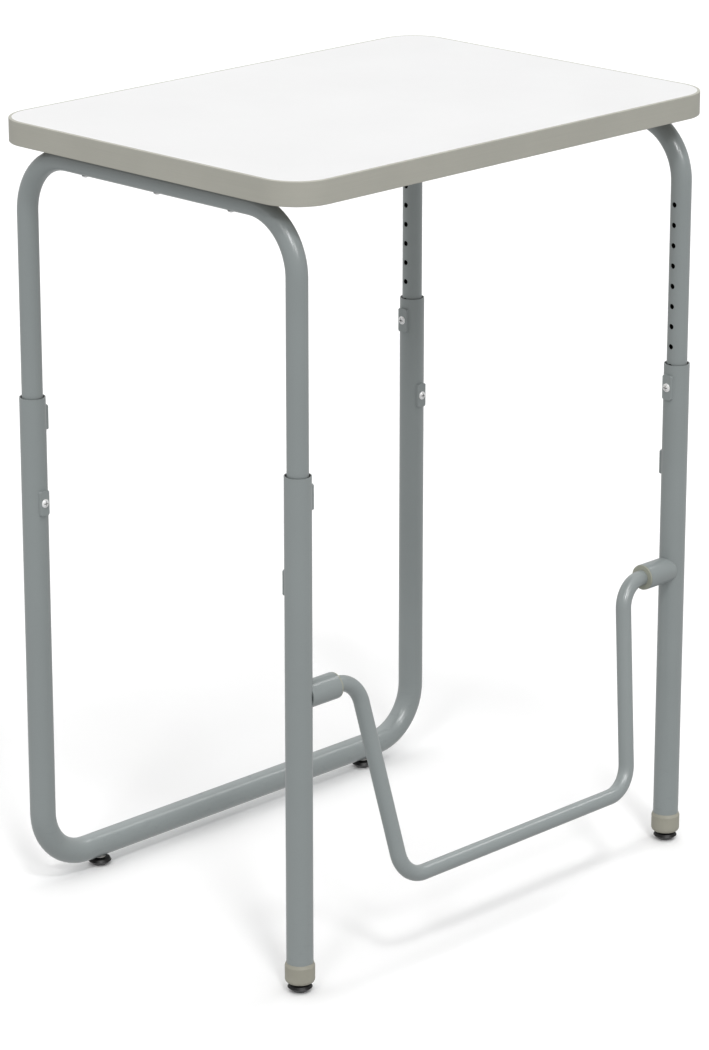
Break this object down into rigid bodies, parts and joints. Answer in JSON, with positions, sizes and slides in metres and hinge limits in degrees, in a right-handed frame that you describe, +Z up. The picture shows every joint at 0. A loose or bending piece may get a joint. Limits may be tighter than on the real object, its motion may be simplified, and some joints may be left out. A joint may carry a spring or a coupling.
{
  "type": "height-adjustable standing desk",
  "caption": "Standing-height desk: round-cornered worktop on telescoping tube legs with rows of height holes, and a bent footrest bar that swings between the front legs.",
  "frame": {"origin": "on the floor, under the middle of the whole desk's outline with the footrest as stored", "axes": "+Z up, +X to the right of a person standing at the desk, +Y away from that person, towards the rear rail"},
  "size_m": [0.711, 0.5328, 0.9686],
  "materials": {
    "core_board": "bare pressed particle board",
    "laminate": "white melamine laminate, fine satin texture",
    "backing_sheet": "plain backing sheet",
    "edge_band": "warm grey extruded vinyl, satin",
    "upper_tube_paint": "cool mid-grey powder coat, light sheen",
    "lower_tube_paint": "cool mid-grey powder coat, light sheen",
    "footrest_paint": "cool mid-grey powder coat, light sheen",
    "wood_screw_zinc": "bright zinc plate",
    "machine_screw_zinc": "bright zinc plate",
    "black_plastic": "moulded black polyethylene",
    "pivot_plastic": "moulded warm grey nylon",
    "cap_plastic": "moulded warm grey vinyl",
    "nut_steel": "zinc-plated steel",
    "stem_steel": "zinc-plated steel",
    "glide_nylon": "moulded black nylon, worn dull on the base"
  },
  "bodies": {
    "base": {"rear_lower_frame": "lower_tube_paint", "front_left_leg": "lower_tube_paint", "front_right_leg": "lower_tube_paint", "front_left_leg_bushing": "black_plastic", "front_right_leg_bushing": "black_plastic", "rear_left_leg_bushing": "black_plastic", "rear_right_leg_bushing": "black_plastic", "front_left_index_plate": "lower_tube_paint", "front_right_index_plate": "lower_tube_paint", "rear_left_index_plate": "lower_tube_paint", "rear_right_index_plate": "lower_tube_paint", "front_left_clamp_plate": "lower_tube_paint", "front_right_clamp_plate": "lower_tube_paint", "rear_left_clamp_plate": "lower_tube_paint", "rear_right_clamp_plate": "lower_tube_paint", "front_left_index_screw": "machine_screw_zinc", "front_right_index_screw": "machine_screw_zinc", "rear_left_index_screw": "machine_screw_zinc", "rear_right_index_screw": "machine_screw_zinc", "front_left_clamp_screw": "machine_screw_zinc", "front_right_clamp_screw": "machine_screw_zinc", "rear_left_clamp_screw": "machine_screw_zinc", "rear_right_clamp_screw": "machine_screw_zinc", "left_pivot_sleeve": "lower_tube_paint", "right_pivot_sleeve": "lower_tube_paint", "left_pivot_bushing": "pivot_plastic", "right_pivot_bushing": "pivot_plastic", "front_left_foot_cap": "cap_plastic", "front_right_foot_cap": "cap_plastic", "front_left_glide_nut": "nut_steel", "front_right_glide_nut": "nut_steel", "rear_left_glide_nut": "nut_steel", "rear_right_glide_nut": "nut_steel"},
    "worktop": {"top_core": "core_board", "top_laminate": "laminate", "top_backer": "backing_sheet", "edge_band": "edge_band", "left_upper_frame": "upper_tube_paint", "right_upper_frame": "upper_tube_paint", "left_rail_screws": "wood_screw_zinc", "right_rail_screws": "wood_screw_zinc", "front_left_tube_guide": "black_plastic", "front_right_tube_guide": "black_plastic", "rear_left_tube_guide": "black_plastic", "rear_right_tube_guide": "black_plastic"},
    "footrest": {"footrest_bar": "footrest_paint"},
    "front_left_glide_foot": {"front_left_glide": "glide_nylon", "front_left_glide_stem": "stem_steel"},
    "front_right_glide_foot": {"front_right_glide": "glide_nylon", "front_right_glide_stem": "stem_steel"},
    "rear_left_glide_foot": {"rear_left_glide": "glide_nylon", "rear_left_glide_stem": "stem_steel"},
    "rear_right_glide_foot": {"rear_right_glide": "glide_nylon", "rear_right_glide_stem": "stem_steel"}
  },
  "joints": [
    {"name": "height_slide", "type": "slide", "parent": "base", "child": "worktop", "axis": [0, 0, 1], "range_m": [-0.2286, 0.127]},
    {"name": "footrest_swing", "type": "hinge", "parent": "base", "child": "footrest", "pos_m": [0, -0.2128, 0.3635], "axis": [-1, 0, 0], "range_deg": [-100, 80]},
    {"name": "front_left_glide_height", "type": "slide", "parent": "base", "child": "front_left_glide_foot", "axis": [0, 0, -1], "range_m": [0, 0.012]},
    {"name": "front_right_glide_height", "type": "slide", "parent": "base", "child": "front_right_glide_foot", "axis": [0, 0, -1], "range_m": [0, 0.012]},
    {"name": "rear_left_glide_height", "type": "slide", "parent": "base", "child": "rear_left_glide_foot", "axis": [0, 0, -1], "range_m": [0, 0.012]},
    {"name": "rear_right_glide_height", "type": "slide", "parent": "base", "child": "rear_right_glide_foot", "axis": [0, 0, -1], "range_m": [0, 0.012]}
  ]
}
